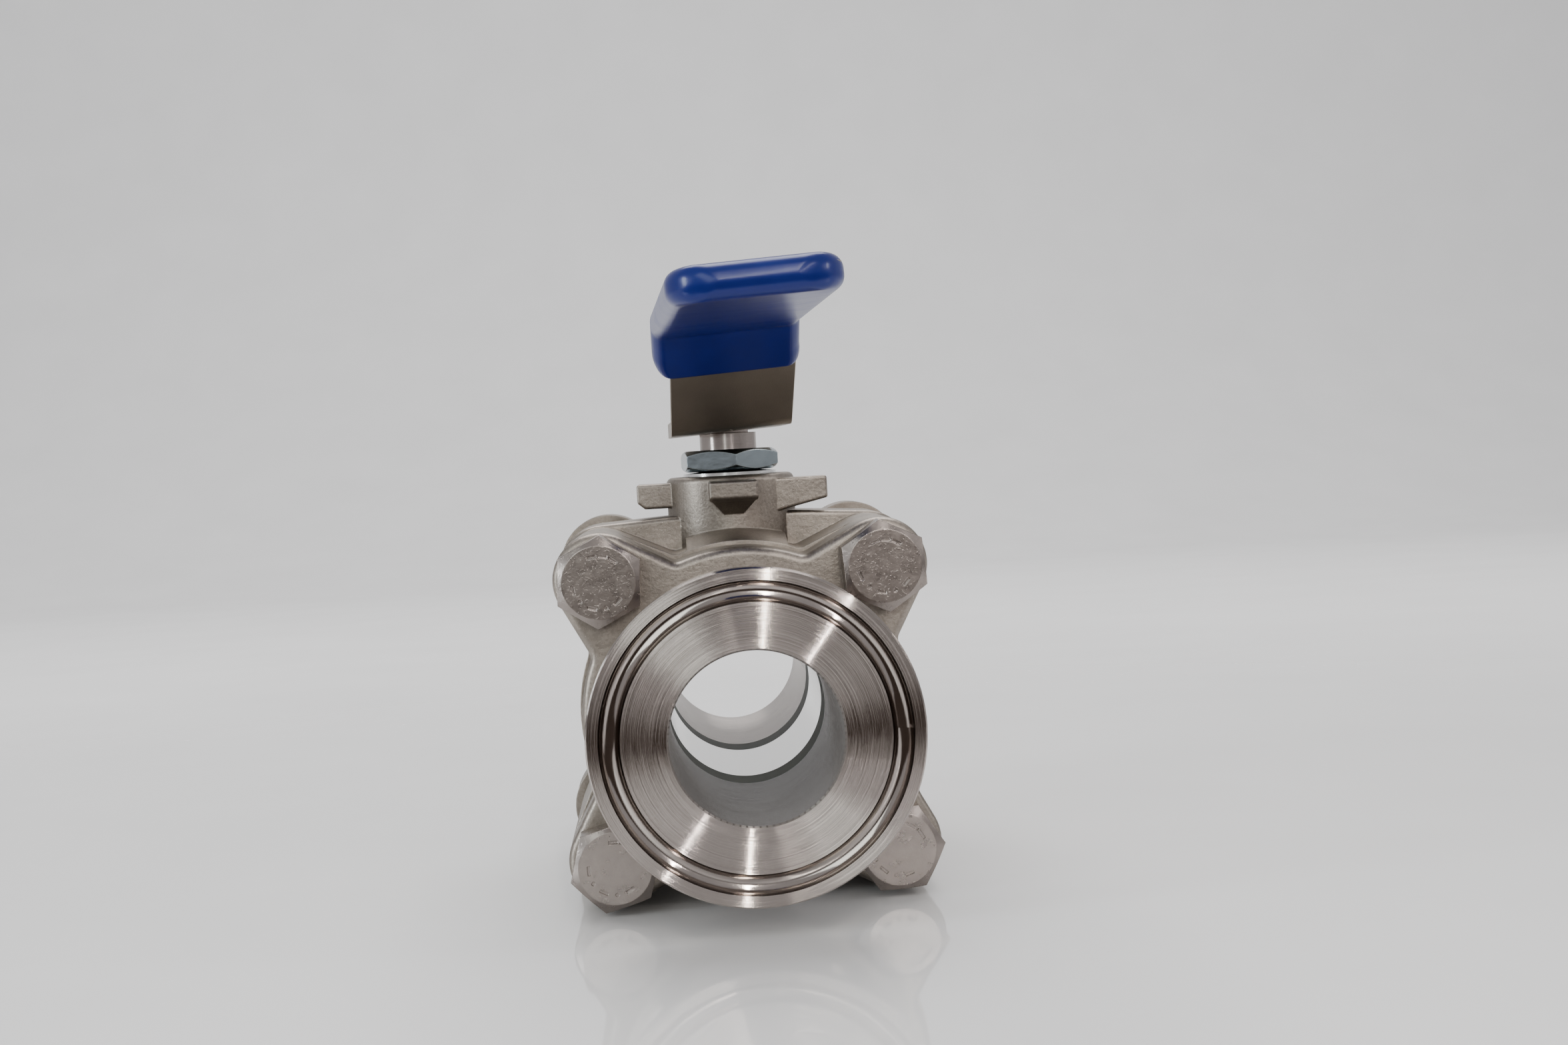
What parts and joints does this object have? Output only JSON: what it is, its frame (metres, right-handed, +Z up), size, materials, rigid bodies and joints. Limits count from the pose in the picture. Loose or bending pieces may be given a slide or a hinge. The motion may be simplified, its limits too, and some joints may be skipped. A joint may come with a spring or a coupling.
{
  "type": "ball valve",
  "caption": "Three-piece full-bore ball valve with clamp ferrule ends, bolted end caps, a packed stem and a quarter-turn lever in a plastic sleeve.",
  "frame": {"origin": "centre of the ball, on the bore axis midway between the two ferrule faces", "axes": "+Y along the bore from inlet to outlet, +Z up the stem, +X to the right when looking in at the inlet"},
  "size_m": [0.0636, 0.156, 0.0983],
  "materials": {
    "cast_steel": "bead-blasted investment-cast stainless steel, warm grey, with machined bright ferrules",
    "polished_steel": "polished stainless steel",
    "turned_steel": "turned stainless steel",
    "bolt_steel": "stainless fasteners, matt heads with bright corners",
    "plated_nut": "bright, slightly bluish nut",
    "lever_steel": "satin sheet stainless steel",
    "blue_vinyl": "glossy dipped vinyl, royal blue",
    "filled_ptfe": "filled fluoropolymer, dark grey-green",
    "white_ptfe": "plain fluoropolymer, off-white",
    "black_rubber": "moulded rubber"
  },
  "bodies": {
    "valve_body": {"body": "cast_steel", "inlet_end_cap": "cast_steel", "outlet_end_cap": "cast_steel", "inlet_seat": "filled_ptfe", "outlet_seat": "filled_ptfe", "inlet_body_gasket": "white_ptfe", "outlet_body_gasket": "white_ptfe", "thrust_washer": "filled_ptfe", "packing_base_ring": "filled_ptfe", "packing_rings": "white_ptfe", "packing_top_ring": "filled_ptfe", "gland_ring": "turned_steel", "body_bolts": "bolt_steel", "body_spring_washers": "bolt_steel", "body_nuts": "bolt_steel"},
    "lever_and_stem": {"stem": "turned_steel", "stem_o_ring": "black_rubber", "disc_springs": "polished_steel", "gland_nut": "plated_nut", "lever": "lever_steel", "lever_sleeve": "blue_vinyl", "lever_washer": "turned_steel", "lever_nut": "bolt_steel"},
    "ball": {"ball": "polished_steel"}
  },
  "joints": [
    {"name": "lever_turn", "type": "hinge", "parent": "valve_body", "child": "lever_and_stem", "pos_m": [0, 0, 0.04], "axis": [0, 0, 1], "range_deg": [-90, 0]},
    {"name": "ball_turn", "type": "hinge", "parent": "valve_body", "child": "ball", "pos_m": [0, 0, 0], "axis": [0, 0, 1], "range_deg": [-90, 0]}
  ],
  "couplings": [
    {"joint": "ball_turn", "follows": "lever_turn", "ratio": 1}
  ]
}
